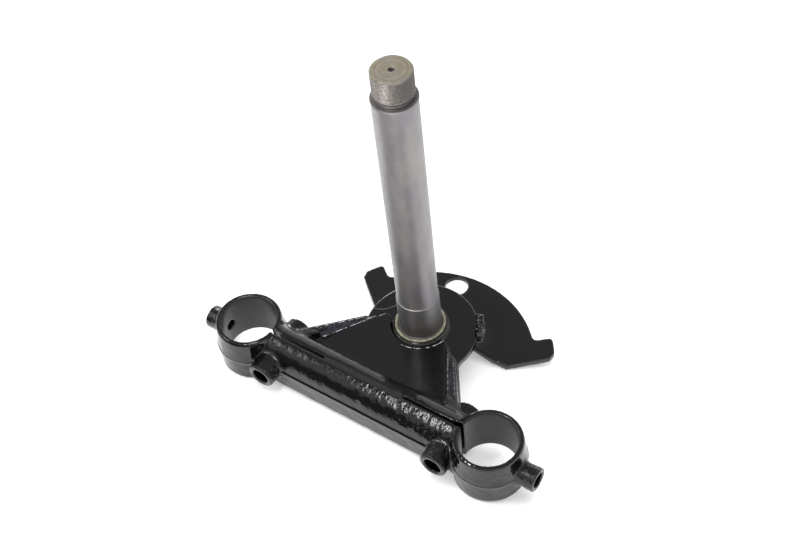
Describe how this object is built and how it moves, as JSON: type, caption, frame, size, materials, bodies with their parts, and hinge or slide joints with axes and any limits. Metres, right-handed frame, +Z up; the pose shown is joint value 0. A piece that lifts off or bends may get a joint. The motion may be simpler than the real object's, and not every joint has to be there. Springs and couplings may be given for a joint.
{
  "type": "motorcycle triple clamp",
  "caption": "Forged lower fork bracket with two split clamp rings, a pressed-in steel steering stem and a crescent stop plate.",
  "frame": {"origin": "on the steering axis, at the foot of the lower bearing seat, on top of the pale ring", "axes": "+Z up the steering stem, +X along the crossbar, +Y to the rear, where the stop plate is; the rings lie at -Y"},
  "size_m": [0.2274, 0.1487, 0.2402],
  "materials": {
    "black_enamel": "gloss black over a rough forged skin",
    "black_plate": "semi-gloss black",
    "ground_steel": "turned and ground, with a stained upper end",
    "pale_ring": "dull cream"
  },
  "bodies": {
    "root": {"fork_bracket": "black_enamel", "steering_stem": "ground_steel", "stop_plate": "black_plate", "stop_plate_weld": "black_enamel", "head_edge_weld": "black_enamel", "pale_ring": "pale_ring"}
  },
  "joints": []
}
